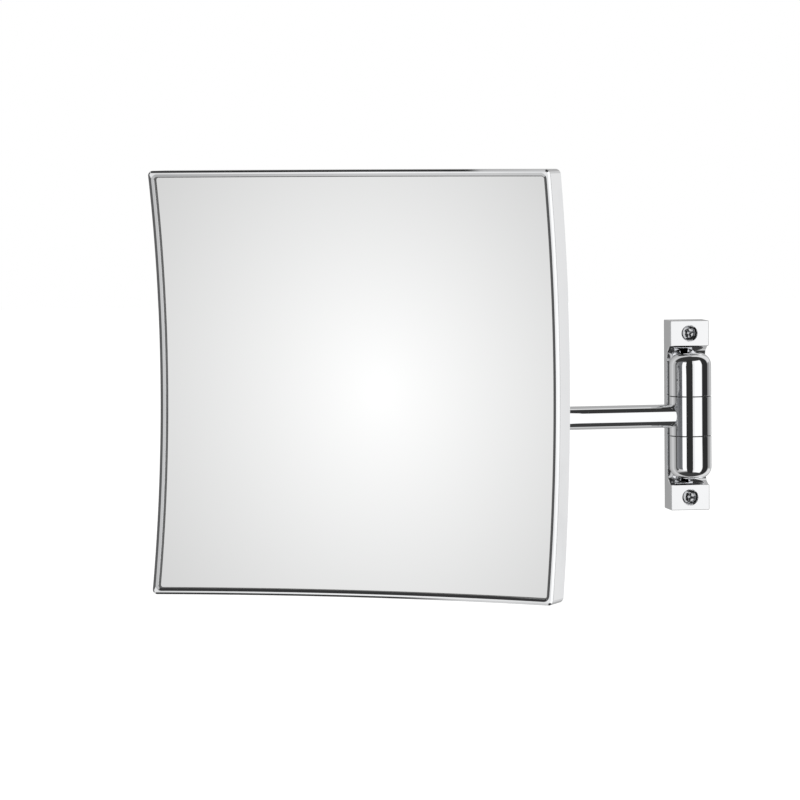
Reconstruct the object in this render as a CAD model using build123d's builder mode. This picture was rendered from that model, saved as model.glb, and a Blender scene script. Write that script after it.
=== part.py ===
from build123d import *

import os
from math import cos, hypot, radians, sin, sqrt

# Wall mirror on one swinging arm: a square concave mirror head, a round arm, and a barrel hinge
# carried by a C-shaped wall bracket.
# Millimetres and degrees. The origin is the middle of the bracket's back face, +Y runs into the
# wall, +Z is up, and +X is to the right of someone who faces the wall.

os.makedirs("parts", exist_ok=True)

# Fits and gaps between pieces
running_clearance = 0.05
fixed_clearance = 0.02
axial_play = 0.05
hole_clearance = 0.25
layer_gap = 0.05

# Wall bracket
bracket_width = 19.0
bracket_depth = 16.0
block_height = 12.35
plate_thickness = 6.0
inner_corner_flat = 0.6
bracket_edge_round = 0.4

# Wall screws, sunk in the blocks
wall_thread_diameter = 4.5
wall_shank_diameter = 4.0
wall_head_diameter = 7.3
wall_head_height = 2.6
wall_head_depth = 3.6
wall_screw_reach = 32.0
wall_screw_tip = 5.0

# Barrel hinge at the wall
barrel_diameter = 20.2
barrel_length = 61.0
barrel_end_gap = 3.1
barrel_gap = 1.0
barrel_end_round = 6.0
middle_height = 18.7
pin_diameter = 8.0
pin_end_wall = 6.5
pin_chamfer = 0.6
bush_wall = 1.5
bush_gap = 0.6
flange_thickness = 0.4
flange_inset = 0.35
spring_diameter = 15.0
spring_thickness = 0.5
spring_height = 0.9
neck_width = 9.0
neck_height = 12.0
knuckle_screw_diameter = 4.0
knuckle_screw_head = 7.6
knuckle_screw_wall = 1.5

# Arm
arm_length = 144.5
arm_swing = 4.0
rod_diameter = 11.3
socket_depth = 3.2

# Elbow barrel at the arm's outer end
elbow_drop = 16.0
tilt_height = 21.1
swivel_thread_diameter = 6.0
swivel_thread_length = 10.0
swivel_head_diameter = 12.4
swivel_head_height = 3.6
swivel_head_socket = 5.0
swivel_head_room = 0.5
swivel_washer_thickness = 1.0
swivel_web = 14.5
cap_rim = 0.8
cap_spigot = 1.4
cap_spigot_wall = 1.6

# Tilt joint between the elbow and the mirror head
head_yaw = -28.8
tilt_reach = 18.5
tongue_width = 8.0
tongue_radius = 7.0
tongue_gap = 0.8
tilt_bolt_diameter = 6.0
tilt_bolt_head = 10.0
tilt_bolt_head_height = 3.2
tilt_bolt_socket = 4.0
tilt_bolt_stub = 1.2
tilt_bush_wall = 1.0
tilt_washer_diameter = 13.0
tilt_washer_thickness = 0.8
tilt_spring_diameter = 11.0
tilt_nut_width = 10.0
tilt_nut_height = 4.0
ear_thickness = 5.0
ear_radius = 7.5

# Hinge plate on the head's back, and its screws
hinge_plate_width = 44.0
hinge_plate_height = 36.0
hinge_plate_thickness = 2.5
hinge_plate_corner = 4.0
plate_screw_diameter = 4.0
plate_screw_head = 7.0
plate_screw_head_height = 2.2
plate_screw_inset = 6.5
plate_screw_end_gap = 0.8
seat_margin = 1.5
seat_rise = 0.5

# Mirror head, whose layers are parts of spheres about one centre in front of the glass
mirror_size = 200.0
rim_radius = 420.0
frame_depth = 15.0
frame_wall = 1.2
frame_corner_radius = 2.4
frame_edge_round = 0.35
rim_round = 1.2
lip_width = 3.0
lip_thickness = 1.2
lip_round = 0.7
opening_corner_radius = 1.5
seal_thickness = 0.5
seal_wall = 0.6
seal_show = 0.45
seal_sink = 0.35
glass_thickness = 4.0
pad_thickness = 2.4
pad_margin = 4.0
board_thickness = 4.0
board_margin = 1.0
gusset_leg = 24.0
gusset_gap = 0.8
gusset_screw_inset = 7.5
back_screw_diameter = 3.0
back_screw_head = 5.4
back_screw_length = 4.8
shell_thickness = 1.4

# Shares of a screw's head that its crown and its cross recess take up
crown_share = 0.55
recess_span_share = 0.62
recess_width_share = 0.16
recess_depth_share = 0.6

# Places worked out from the sizes above
barrel_radius = barrel_diameter / 2
pin_radius = pin_diameter / 2
rod_radius = rod_diameter / 2
bracket_gap = barrel_length + 2 * barrel_end_gap
bracket_height = bracket_gap + 2 * block_height
screw_level = (bracket_gap + block_height) / 2
inner_corner_radius = bracket_depth - plate_thickness - inner_corner_flat
hinge_y = -(plate_thickness + barrel_gap + barrel_radius)
bush_bore = pin_radius + running_clearance
bush_radius = bush_bore + bush_wall
flange_radius = barrel_radius - flange_inset
flange_room = flange_thickness + axial_play
knuckle_base = middle_height / 2 + flange_room
knuckle_height = barrel_length / 2 - knuckle_base
neck_level = knuckle_base + (knuckle_height - barrel_end_round) / 2
knuckle_screw_length = -hinge_y - pin_radius - knuckle_screw_wall
pin_reach = barrel_length / 2 - pin_end_wall
socket_floor = barrel_radius - socket_depth

elbow_rise = (tilt_height - flange_room) / 2
swivel_base = elbow_rise + flange_room
swivel_floor = swivel_base + swivel_web
swivel_bore = swivel_head_diameter / 2 + swivel_head_room
washer_base = swivel_floor + axial_play
swivel_spring_base = washer_base + swivel_washer_thickness
swivel_head_base = swivel_spring_base + spring_height
swivel_top = swivel_head_base + swivel_head_height + swivel_head_room + cap_spigot

tilt_bolt_radius = tilt_bolt_diameter / 2
tilt_bush_bore = tilt_bolt_radius + running_clearance
tilt_bush_radius = tilt_bush_bore + tilt_bush_wall
ear_inside = tongue_width / 2 + axial_play + tilt_washer_thickness
ear_outside = ear_inside + ear_thickness
nut_base = ear_outside + spring_height
plate_back = tongue_radius + tongue_gap
seat = plate_back + hinge_plate_thickness
plate_screw_x = hinge_plate_width / 2 - plate_screw_inset
plate_screw_y = hinge_plate_height / 2 - plate_screw_inset

lip_back = rim_radius + lip_thickness
seal_front = lip_back + layer_gap
glass_front = seal_front + seal_thickness + layer_gap
glass_back = glass_front + glass_thickness
pad_front = glass_back + layer_gap
pad_back = pad_front + pad_thickness
board_front = pad_back + layer_gap
board_back = board_front + board_thickness
shell_front = board_back + layer_gap
shell_back = shell_front + shell_thickness
frame_back = rim_radius + frame_depth
dome_distance = seat + seat_rise + shell_back

frame_inside = mirror_size - 2 * frame_wall
inside_corner = frame_corner_radius - frame_wall
opening_size = mirror_size - 2 * lip_width
seal_size = frame_inside - 2 * fixed_clearance
seal_inside = seal_size - 2 * seal_wall
seal_inside_corner = inside_corner - seal_wall
bead_size = opening_size - 2 * fixed_clearance
bead_corner = opening_corner_radius - fixed_clearance
glass_size = seal_inside - 2 * layer_gap
pad_size = glass_size - 2 * pad_margin
board_size = frame_inside - 2 * board_margin
gusset_reach = frame_inside / 2 - fixed_clearance
shell_size = frame_inside - 2 * layer_gap
gusset_screw_place = frame_inside / 2 - gusset_screw_inset

up = (0, 0, 1)
centred = (Align.CENTER, Align.CENTER, Align.CENTER)
standing = (Align.CENTER, Align.CENTER, Align.MIN)
hanging = (Align.CENTER, Align.CENTER, Align.MAX)


def heading(degrees):
    """Return the level unit vector this many degrees from +X, turning towards +Y."""
    return Vector(cos(radians(degrees)), sin(radians(degrees)), 0)


# ARM has X along the rod. ROD looks along the rod, from the wall hinge to the elbow
HINGE = Plane(origin=(0, hinge_y, 0), x_dir=(1, 0, 0), z_dir=up)
ARM = Plane(origin=HINGE.origin, x_dir=heading(180 + arm_swing), z_dir=up)
ROD = Plane(origin=HINGE.origin, x_dir=up, z_dir=ARM.x_dir)
ELBOW = Plane(origin=ARM.from_local_coords((arm_length, 0, 0)), x_dir=ARM.x_dir, z_dir=up)

# SWIVEL and HEAD have X to the mirror's right, Y to its back and Z up.
# FACE looks out of the glass, BACK looks out of the head's back, SIDE looks out of its left side
right = heading(head_yaw)
front = heading(head_yaw - 90)
SWIVEL = Plane(origin=ELBOW.origin, x_dir=right, z_dir=up)
HEAD = Plane(origin=SWIVEL.from_local_coords((0, -tilt_reach, tilt_height)), x_dir=right, z_dir=up)
FACE = Plane(origin=HEAD.origin, x_dir=right, z_dir=front)
BACK = Plane(origin=HEAD.origin, x_dir=-right, z_dir=-front)
SIDE = Plane(origin=HEAD.origin, x_dir=front, z_dir=-right)
PIVOT = Plane(origin=HEAD.origin, x_dir=up, z_dir=right)
dome_centre = HEAD.from_local_coords((0, -dome_distance, 0))


def furthest_edge(builder, plane):
    """Return the edge of a builder's part that lies furthest along a plane's normal."""
    return builder.edges().sort_by(Axis(plane.origin, plane.z_dir))[-1]


def pan_screw(seat_plane, head_diameter, head_height, shanks):
    """Return a pan-head screw with a cross recess; shanks are diameters and lengths below its seat."""
    crown = crown_share * head_height
    crown_radius = (head_diameter**2 / 4 + crown**2) / (2 * crown)
    with BuildPart(seat_plane) as screw:
        Cylinder(head_diameter / 2, head_height, align=standing)
        with Locations((0, 0, head_height - crown_radius)):
            Sphere(crown_radius, mode=Mode.INTERSECT)
        with Locations((0, 0, head_height)):
            for turn in (0, 90):
                Box(
                    recess_span_share * head_diameter,
                    recess_width_share * head_diameter,
                    2 * recess_depth_share * head_height,
                    rotation=(0, 0, turn),
                    mode=Mode.SUBTRACT,
                )
        depth = 0
        for diameter, length in shanks:
            with Locations((0, 0, -depth)):
                Cylinder(diameter / 2, length, align=hanging)
            depth += length
    return screw.part


def countersunk_screw(top_plane, head_diameter, shank_diameter, length):
    """Return a countersunk screw with a cross recess, whose flat head lies in a plane."""
    head_height = (head_diameter - shank_diameter) / 2
    with BuildPart(top_plane) as screw:
        Cylinder(shank_diameter / 2, length, align=hanging)
        Cone(shank_diameter / 2, head_diameter / 2, head_height, align=hanging)
        for turn in (0, 90):
            Box(
                recess_span_share * head_diameter,
                recess_width_share * head_diameter,
                2 * recess_depth_share * head_height,
                rotation=(0, 0, turn),
                mode=Mode.SUBTRACT,
            )
    return screw.part


def ring(base_plane, inner_radius, outer_radius, height):
    """Return a plain ring that stands on a plane."""
    with BuildPart(base_plane) as body:
        Cylinder(outer_radius, height, align=standing)
        Cylinder(inner_radius, height, align=standing, mode=Mode.SUBTRACT)
    return body.part


def flanged_bush(flange_plane, bore_radius, wall, length):
    """Return a sleeve that hangs below a plane, with its thin flange standing on that plane."""
    with BuildPart(flange_plane) as bush:
        Cylinder(flange_radius, flange_thickness, align=standing)
        Cylinder(bore_radius + wall, length, align=hanging)
        Cylinder(bore_radius, 2 * (length + flange_thickness), align=centred, mode=Mode.SUBTRACT)
    return bush.part


def disc_spring(base_plane, bore_radius, outer_radius):
    """Return a dished spring washer whose wide edge lies on a plane."""
    section = Plane(origin=base_plane.origin, x_dir=base_plane.x_dir, z_dir=-base_plane.y_dir)
    with BuildPart() as spring:
        with BuildSketch(section):
            with BuildLine():
                Polyline(
                    (outer_radius, 0),
                    (outer_radius, spring_thickness),
                    (bore_radius, spring_height),
                    (bore_radius, spring_height - spring_thickness),
                    close=True,
                )
            make_face()
        revolve(axis=Axis(base_plane.origin, base_plane.z_dir))
    return spring.part


def square_outline(side, corner):
    """Return a square with round corners, centred on the mirror's face."""
    with BuildSketch(FACE) as outline:
        RectangleRounded(side, side, corner)
    return outline.sketch


def dome_slab(outline, front_radius, back_radius):
    """Return the part of the head's dome between two radii that lies within an outline."""
    with BuildPart(HEAD) as slab:
        extrude(outline, amount=dome_distance / 2, dir=front)
        with Locations((0, -dome_distance, 0)):
            Sphere(back_radius, mode=Mode.INTERSECT)
            Sphere(front_radius, mode=Mode.SUBTRACT)
    return slab.part


def dome_plane(across, level, radius):
    """Return the plane that touches a sphere of the dome at a place on the face, looking backwards."""
    out = sqrt(radius**2 - across**2 - level**2)
    place = HEAD.from_local_coords((across, out - dome_distance, level))
    return Plane(origin=place, x_dir=right, z_dir=place - dome_centre)


def on_dome(edge, radius):
    """Tell whether an edge lies on a sphere of the head's dome."""
    return all(abs((edge @ share - dome_centre).length - radius) < layer_gap / 10 for share in (0, 0.5, 1))


def from_axis(edge):
    """Return how far an edge's middle is from the head's axis, measured square to the sides."""
    middle = HEAD.to_local_coords(edge @ 0.5)
    return max(abs(middle.X), abs(middle.Z))


# Wall bracket: a flat plate with a block at each end, which the barrel stands between
with BuildPart() as wall_bracket:
    with BuildSketch(Plane.YZ) as bracket_side:
        with BuildLine():
            Polyline(
                (0, -bracket_height / 2),
                (0, bracket_height / 2),
                (-bracket_depth, bracket_height / 2),
                (-bracket_depth, bracket_gap / 2),
                (-plate_thickness, bracket_gap / 2),
                (-plate_thickness, -bracket_gap / 2),
                (-bracket_depth, -bracket_gap / 2),
                (-bracket_depth, -bracket_height / 2),
                close=True,
            )
        make_face()
        fillet(bracket_side.vertices().group_by(Axis.X)[1], inner_corner_radius)
    extrude(amount=bracket_width / 2, both=True)
    block_fronts = wall_bracket.edges().filter_by(Axis.X).group_by(Axis.Y)[0]
    side_rims = wall_bracket.faces().filter_by(Axis.X).edges().filter_by(lambda edge: (edge @ 0.5).Y < 0)
    fillet(block_fronts + side_rims, bracket_edge_round)
    with Locations(
        *[Plane(origin=(0, -bracket_depth, z), z_dir=(0, -1, 0)) for z in (-screw_level, screw_level)]
    ):
        CounterBoreHole(
            radius=wall_thread_diameter / 2 + hole_clearance,
            counter_bore_radius=wall_head_diameter / 2 + hole_clearance,
            counter_bore_depth=wall_head_depth,
        )
    with Locations(*[Plane(origin=(0, 0, z), z_dir=(0, 1, 0)) for z in (-neck_level, neck_level)]):
        CounterSinkHole(
            radius=knuckle_screw_diameter / 2 + hole_clearance,
            counter_sink_radius=knuckle_screw_head / 2 + hole_clearance,
            depth=plate_thickness,
            counter_sink_angle=90,
        )

wall_shank = bracket_depth - wall_head_depth
with BuildPart() as wall_screws:
    for z in (-screw_level, screw_level):
        add(
            pan_screw(
                Plane(origin=(0, -wall_shank, z), z_dir=(0, -1, 0)),
                wall_head_diameter,
                wall_head_height,
                [
                    (wall_shank_diameter, wall_shank),
                    (wall_thread_diameter, wall_screw_reach - wall_screw_tip),
                ],
            )
        )
    with Locations(
        *[
            Plane(origin=(0, wall_screw_reach - wall_screw_tip, z), z_dir=(0, 1, 0))
            for z in (-screw_level, screw_level)
        ]
    ):
        Cone(wall_thread_diameter / 2, wall_thread_diameter / 8, wall_screw_tip, align=standing)

# Fixed knuckles: capsule ends that stand on the plate by a short neck and hold the pin's ends
with BuildPart(HINGE.offset(knuckle_base)) as upper_knuckle:
    Cylinder(barrel_radius, knuckle_height, align=standing)
    fillet(furthest_edge(upper_knuckle, HINGE), barrel_end_round)
    with Locations((0, -hinge_y - plate_thickness, neck_level - knuckle_base)):
        Box(
            neck_width,
            barrel_gap + barrel_radius,
            neck_height,
            align=(Align.CENTER, Align.MAX, Align.CENTER),
        )
    Cylinder(pin_radius + fixed_clearance, pin_reach - knuckle_base, align=standing, mode=Mode.SUBTRACT)
    Cylinder(
        spring_diameter / 2 + hole_clearance, spring_height + axial_play, align=standing, mode=Mode.SUBTRACT
    )
    with BuildSketch(Plane(origin=(0, -plate_thickness, neck_level), z_dir=(0, -1, 0))):
        Circle(knuckle_screw_diameter / 2 + fixed_clearance)
    extrude(amount=knuckle_screw_length - plate_thickness, mode=Mode.SUBTRACT)

with BuildPart() as lower_knuckle:
    mirror(upper_knuckle.part, about=Plane.XY)

with BuildPart() as knuckle_screws:
    for z in (-neck_level, neck_level):
        add(
            countersunk_screw(
                Plane(origin=(0, 0, z), z_dir=(0, 1, 0)),
                knuckle_screw_head,
                knuckle_screw_diameter,
                knuckle_screw_length,
            )
        )

with BuildPart(HINGE) as hinge_pin:
    Cylinder(pin_radius, 2 * pin_reach)
    chamfer(hinge_pin.edges().filter_by(GeomType.CIRCLE), pin_chamfer)

upper_spring = disc_spring(HINGE.offset(knuckle_base), pin_radius + hole_clearance, spring_diameter / 2)
with BuildPart() as hinge_springs:
    add(upper_spring)
    mirror(upper_spring, about=Plane.XY)

# Arm: the middle knuckle turns on the pin and carries the rod, which ends in the elbow knuckle
with BuildPart(HINGE) as arm_knuckle:
    Cylinder(barrel_radius, middle_height)
    Cylinder(bush_radius + fixed_clearance, middle_height, mode=Mode.SUBTRACT)
    with BuildSketch(ROD.offset(socket_floor)):
        Circle(rod_radius + fixed_clearance)
    extrude(amount=socket_depth, mode=Mode.SUBTRACT)

hinge_bush_length = (middle_height - bush_gap) / 2
hinge_bush = flanged_bush(HINGE.offset(middle_height / 2), bush_bore, bush_wall, hinge_bush_length)
with BuildPart() as hinge_bushes:
    add(hinge_bush)
    mirror(hinge_bush, about=Plane.XY)

with BuildPart() as arm_rod:
    with BuildSketch(ROD.offset(socket_floor)):
        Circle(rod_radius)
    extrude(amount=arm_length - 2 * socket_floor)

with BuildPart(ELBOW.offset(elbow_rise)) as elbow_knuckle:
    Cylinder(barrel_radius, elbow_rise + elbow_drop, align=hanging)
    fillet(elbow_knuckle.edges().sort_by(Axis.Z)[0], barrel_end_round)
    Cylinder(
        swivel_thread_diameter / 2 + fixed_clearance,
        swivel_thread_length + hole_clearance,
        align=hanging,
        mode=Mode.SUBTRACT,
    )
    with BuildSketch(ROD.offset(arm_length - socket_floor)):
        Circle(rod_radius + fixed_clearance)
    extrude(amount=-socket_depth, mode=Mode.SUBTRACT)

# Shoulder bolt that the swivel turns on, with its washer and spring under the head
with BuildPart(ELBOW.offset(elbow_rise)) as swivel_bolt:
    Cylinder(swivel_thread_diameter / 2, swivel_thread_length, align=hanging)
    Cylinder(pin_radius, swivel_head_base - elbow_rise, align=standing)
    with Locations((0, 0, swivel_head_base - elbow_rise)):
        Cylinder(swivel_head_diameter / 2, swivel_head_height, align=standing)
    with BuildSketch(ELBOW.offset(swivel_head_base + swivel_head_height)):
        RegularPolygon(swivel_head_socket / 2, 6, major_radius=False)
    extrude(amount=-recess_depth_share * swivel_head_height, mode=Mode.SUBTRACT)

with BuildPart() as swivel_washer:
    add(
        ring(
            ELBOW.offset(washer_base),
            pin_radius + hole_clearance,
            swivel_head_diameter / 2,
            swivel_washer_thickness,
        )
    )

with BuildPart() as swivel_spring:
    add(
        disc_spring(
            ELBOW.offset(swivel_spring_base), pin_radius + hole_clearance, swivel_head_diameter / 2
        )
    )

# Swivel: the upper elbow knuckle, with a tongue that reaches forward to the tilt axis
with BuildPart(SWIVEL.offset(swivel_base)) as swivel_knuckle:
    Cylinder(barrel_radius, swivel_top - swivel_base, align=standing)
    with BuildSketch(SIDE):
        Circle(tongue_radius)
        Rectangle(tilt_reach, 2 * tongue_radius, align=(Align.MAX, Align.CENTER))
    extrude(amount=tongue_width / 2, both=True)
    Cylinder(bush_radius + fixed_clearance, swivel_web, align=standing, mode=Mode.SUBTRACT)
    with Locations((0, 0, swivel_web)):
        Cylinder(swivel_bore, swivel_top - swivel_floor, align=standing, mode=Mode.SUBTRACT)
    with BuildSketch(SIDE):
        Circle(tilt_bush_radius + fixed_clearance)
    extrude(amount=tongue_width / 2, both=True, mode=Mode.SUBTRACT)

with BuildPart() as swivel_bush:
    swivel_bush_base = Plane(origin=SWIVEL.origin + Vector(0, 0, swivel_base), x_dir=right, z_dir=(0, 0, -1))
    add(flanged_bush(swivel_bush_base, bush_bore, bush_wall, swivel_web - bush_gap))

with BuildPart(SWIVEL.offset(swivel_top)) as swivel_cap:
    Cylinder(barrel_radius, cap_rim + barrel_end_round, align=standing)
    fillet(furthest_edge(swivel_cap, SWIVEL), barrel_end_round)
    Cylinder(swivel_bore - fixed_clearance, cap_spigot, align=hanging)
    Cylinder(
        swivel_bore - fixed_clearance - cap_spigot_wall, cap_spigot, align=hanging, mode=Mode.SUBTRACT
    )

with BuildPart() as tilt_bush:
    add(ring(PIVOT.offset(-tongue_width / 2), tilt_bush_bore, tilt_bush_radius, tongue_width))

# Tilt joint on the head: two ears on a plate, drawn together by a bolt, washers and a spring
with BuildPart() as hinge_plate:
    with BuildSketch(FACE.offset(plate_back)):
        RectangleRounded(hinge_plate_width, hinge_plate_height, hinge_plate_corner)
    extrude(amount=hinge_plate_thickness)
    for side in (-1, 1):
        with BuildSketch(SIDE.offset(side * (ear_inside + ear_outside) / 2)):
            Circle(ear_radius)
            Rectangle(plate_back, 2 * ear_radius, align=(Align.MIN, Align.CENTER))
        extrude(amount=ear_thickness / 2, both=True)
    with BuildSketch(SIDE):
        Circle(tilt_bolt_radius + fixed_clearance)
    extrude(amount=ear_outside, both=True, mode=Mode.SUBTRACT)
    with Locations(BACK.offset(-plate_back)):
        with GridLocations(2 * plate_screw_x, 2 * plate_screw_y, 2, 2):
            Hole(plate_screw_diameter / 2 + hole_clearance, depth=hinge_plate_thickness)

with BuildPart(PIVOT) as tilt_bolt:
    with Locations((0, 0, -ear_outside)):
        Cylinder(tilt_bolt_head / 2, tilt_bolt_head_height, align=hanging)
        Cylinder(
            tilt_bolt_radius, ear_outside + nut_base + tilt_nut_height + tilt_bolt_stub, align=standing
        )
    with BuildSketch(PIVOT.offset(-ear_outside - tilt_bolt_head_height)):
        RegularPolygon(tilt_bolt_socket / 2, 6, major_radius=False)
    extrude(amount=recess_depth_share * tilt_bolt_head_height, mode=Mode.SUBTRACT)

with BuildPart() as tilt_washers:
    for inner_face in (-ear_inside, ear_inside - tilt_washer_thickness):
        add(
            ring(
                PIVOT.offset(inner_face),
                tilt_bolt_radius + fixed_clearance,
                tilt_washer_diameter / 2,
                tilt_washer_thickness,
            )
        )

with BuildPart() as tilt_spring:
    add(disc_spring(PIVOT.offset(ear_outside), tilt_bolt_radius + hole_clearance, tilt_spring_diameter / 2))

with BuildPart() as tilt_nut:
    with BuildSketch(PIVOT.offset(nut_base)):
        RegularPolygon(tilt_nut_width / 2, 6, major_radius=False)
        Circle(tilt_bolt_radius + fixed_clearance, mode=Mode.SUBTRACT)
    extrude(amount=tilt_nut_height)

plate_screw_shank = seat - plate_back + seat_rise + shell_back - board_front - plate_screw_end_gap
with BuildPart() as plate_screws:
    for across in (-plate_screw_x, plate_screw_x):
        for level in (-plate_screw_y, plate_screw_y):
            place = BACK.from_local_coords((across, level, -plate_back))
            add(
                pan_screw(
                    Plane(origin=place, x_dir=BACK.x_dir, z_dir=BACK.z_dir),
                    plate_screw_head,
                    plate_screw_head_height,
                    [(plate_screw_diameter, plate_screw_shank)],
                )
            )

# Mirror head, from the front frame back to the shell
with BuildPart() as front_frame:
    add(dome_slab(square_outline(mirror_size, frame_corner_radius), rim_radius, frame_back))
    add(dome_slab(square_outline(frame_inside, inside_corner), lip_back, dome_distance), mode=Mode.SUBTRACT)
    add(
        dome_slab(square_outline(opening_size, opening_corner_radius), rim_radius / 2, dome_distance),
        mode=Mode.SUBTRACT,
    )
    rim_edges = front_frame.edges().filter_by(lambda edge: on_dome(edge, rim_radius))
    lip_edges = rim_edges.filter_by(lambda edge: from_axis(edge) < mirror_size / 2 - lip_width / 2)
    fillet(lip_edges, lip_round)
    outer_edges = front_frame.edges().filter_by(lambda edge: from_axis(edge) > (mirror_size - frame_wall) / 2)
    fillet(outer_edges.filter_by(lambda edge: on_dome(edge, rim_radius)), rim_round)
    back_edges = front_frame.edges().filter_by(lambda edge: on_dome(edge, frame_back))
    fillet(
        back_edges.filter_by(lambda edge: from_axis(edge) > (mirror_size - frame_wall) / 2), frame_edge_round
    )

# The seal wraps the glass's edge, and its bead fills the lip's opening round the glass
with BuildPart() as glass_seal:
    add(dome_slab(square_outline(seal_size, inside_corner), seal_front, glass_back))
    add(dome_slab(square_outline(bead_size, bead_corner), rim_radius + seal_sink, seal_front + layer_gap))
    add(
        dome_slab(
            square_outline(seal_inside, seal_inside_corner), seal_front + seal_thickness, dome_distance
        ),
        mode=Mode.SUBTRACT,
    )
    add(
        dome_slab(
            square_outline(opening_size - 2 * seal_show, opening_corner_radius), rim_radius, dome_distance
        ),
        mode=Mode.SUBTRACT,
    )

with BuildPart() as mirror_glass:
    add(dome_slab(square_outline(glass_size, seal_inside_corner), glass_front, glass_back))

with BuildPart() as foam_pad:
    add(dome_slab(square_outline(pad_size, inside_corner), pad_front, pad_back))

with BuildSketch(FACE) as board_outline:
    Rectangle(board_size, board_size)
    chamfer(board_outline.vertices(), gusset_leg + gusset_gap)

with BuildPart() as backing_board:
    add(dome_slab(board_outline.sketch, board_front, board_back))
    with Locations(BACK.offset(-seat)):
        with GridLocations(2 * plate_screw_x, 2 * plate_screw_y, 2, 2):
            Hole(plate_screw_diameter / 2 + fixed_clearance, depth=dome_distance / 2)

with BuildSketch(FACE) as gusset_outline:
    with PolarLocations(0, 4):
        Polygon(
            (gusset_reach, gusset_reach),
            (gusset_reach - gusset_leg, gusset_reach),
            (gusset_reach, gusset_reach - gusset_leg),
            align=None,
        )
    square_corners = gusset_outline.vertices().sort_by(lambda vertex: hypot(vertex.X, vertex.Y))[-4:]
    fillet(square_corners, inside_corner)

gusset_screw_planes = [
    dome_plane(across, level, shell_back)
    for across in (-gusset_screw_place, gusset_screw_place)
    for level in (-gusset_screw_place, gusset_screw_place)
]
with BuildPart() as corner_gussets:
    add(dome_slab(gusset_outline.sketch, board_front, board_back))
    with Locations(*gusset_screw_planes):
        Hole(back_screw_diameter / 2 + fixed_clearance, depth=2 * (shell_back - board_front))

with BuildPart() as back_shell:
    add(dome_slab(square_outline(shell_size, inside_corner), shell_front, shell_back))
    with BuildSketch(FACE.offset(seat)):
        RectangleRounded(
            hinge_plate_width + 2 * seat_margin,
            hinge_plate_height + 2 * seat_margin,
            hinge_plate_corner + seat_margin,
        )
    extrude(amount=seat_rise + shell_thickness)
    with Locations(BACK.offset(-seat)):
        with GridLocations(2 * plate_screw_x, 2 * plate_screw_y, 2, 2):
            Hole(plate_screw_diameter / 2 + hole_clearance, depth=dome_distance / 2)
    with Locations(*gusset_screw_planes):
        CounterSinkHole(
            radius=back_screw_diameter / 2 + hole_clearance,
            counter_sink_radius=back_screw_head / 2 + hole_clearance,
            depth=2 * shell_thickness,
            counter_sink_angle=90,
        )

with BuildPart() as back_screws:
    for plane in gusset_screw_planes:
        add(countersunk_screw(plane, back_screw_head, back_screw_diameter, back_screw_length))

# One file for each piece, named after it
pieces = {
    "wall_bracket": wall_bracket,
    "wall_screws": wall_screws,
    "upper_knuckle": upper_knuckle,
    "lower_knuckle": lower_knuckle,
    "knuckle_screws": knuckle_screws,
    "hinge_pin": hinge_pin,
    "hinge_springs": hinge_springs,
    "arm_knuckle": arm_knuckle,
    "hinge_bushes": hinge_bushes,
    "arm_rod": arm_rod,
    "elbow_knuckle": elbow_knuckle,
    "swivel_bolt": swivel_bolt,
    "swivel_washer": swivel_washer,
    "swivel_spring": swivel_spring,
    "swivel_knuckle": swivel_knuckle,
    "swivel_bush": swivel_bush,
    "swivel_cap": swivel_cap,
    "tilt_bush": tilt_bush,
    "hinge_plate": hinge_plate,
    "plate_screws": plate_screws,
    "tilt_bolt": tilt_bolt,
    "tilt_nut": tilt_nut,
    "tilt_spring": tilt_spring,
    "tilt_washers": tilt_washers,
    "front_frame": front_frame,
    "glass_seal": glass_seal,
    "mirror_glass": mirror_glass,
    "foam_pad": foam_pad,
    "backing_board": backing_board,
    "corner_gussets": corner_gussets,
    "back_shell": back_shell,
    "back_screws": back_screws,
}
for label, piece in pieces.items():
    piece.part.label = label
    export_step(piece.part, f"parts/{label}.step")
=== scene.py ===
"""Studio scene for a square magnifying mirror on one swinging wall arm.

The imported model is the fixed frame. The visible skins are built around it in the same frame, in metres:
+Y runs into the wall, +Z is up, and +X is to the right of someone who faces the wall.
"""

from __future__ import annotations

import logging
import math
from dataclasses import dataclass, field
from enum import Enum
from typing import Any, Iterable, Sequence

import bmesh
import bpy
from mathutils import Matrix, Vector

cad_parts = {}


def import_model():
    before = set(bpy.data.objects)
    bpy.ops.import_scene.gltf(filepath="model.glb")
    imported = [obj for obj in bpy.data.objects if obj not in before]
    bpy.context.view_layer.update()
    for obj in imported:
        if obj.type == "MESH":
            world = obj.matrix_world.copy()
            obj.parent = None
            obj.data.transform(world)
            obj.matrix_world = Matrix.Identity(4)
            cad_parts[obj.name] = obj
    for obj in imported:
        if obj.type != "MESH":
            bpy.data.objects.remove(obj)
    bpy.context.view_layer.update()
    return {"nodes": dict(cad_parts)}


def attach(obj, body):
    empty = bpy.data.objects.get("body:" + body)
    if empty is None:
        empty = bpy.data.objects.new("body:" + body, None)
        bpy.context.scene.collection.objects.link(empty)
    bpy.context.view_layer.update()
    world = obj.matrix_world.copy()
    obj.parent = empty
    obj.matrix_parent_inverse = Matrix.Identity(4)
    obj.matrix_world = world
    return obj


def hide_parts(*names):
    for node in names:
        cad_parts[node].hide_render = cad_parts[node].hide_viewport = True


LOG = logging.getLogger("wall_mirror")
MM = 0.001
UP = Vector((0.0, 0.0, 1.0))
HEAD_YAW = -28.8
QUARTERS = ((1, 1), (-1, 1), (-1, -1), (1, -1))
SHARP_EDGE = 34.0
SAME_POINT = 1e-7
SAME_SOLID_POINT = 2e-6
NO_LENGTH = 1e-8


class Body(str, Enum):
    """The rigid groups that the pieces ride on."""

    WALL = "wall_mount"
    ARM = "arm"
    SWIVEL = "swivel"
    HEAD = "mirror_head"


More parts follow.
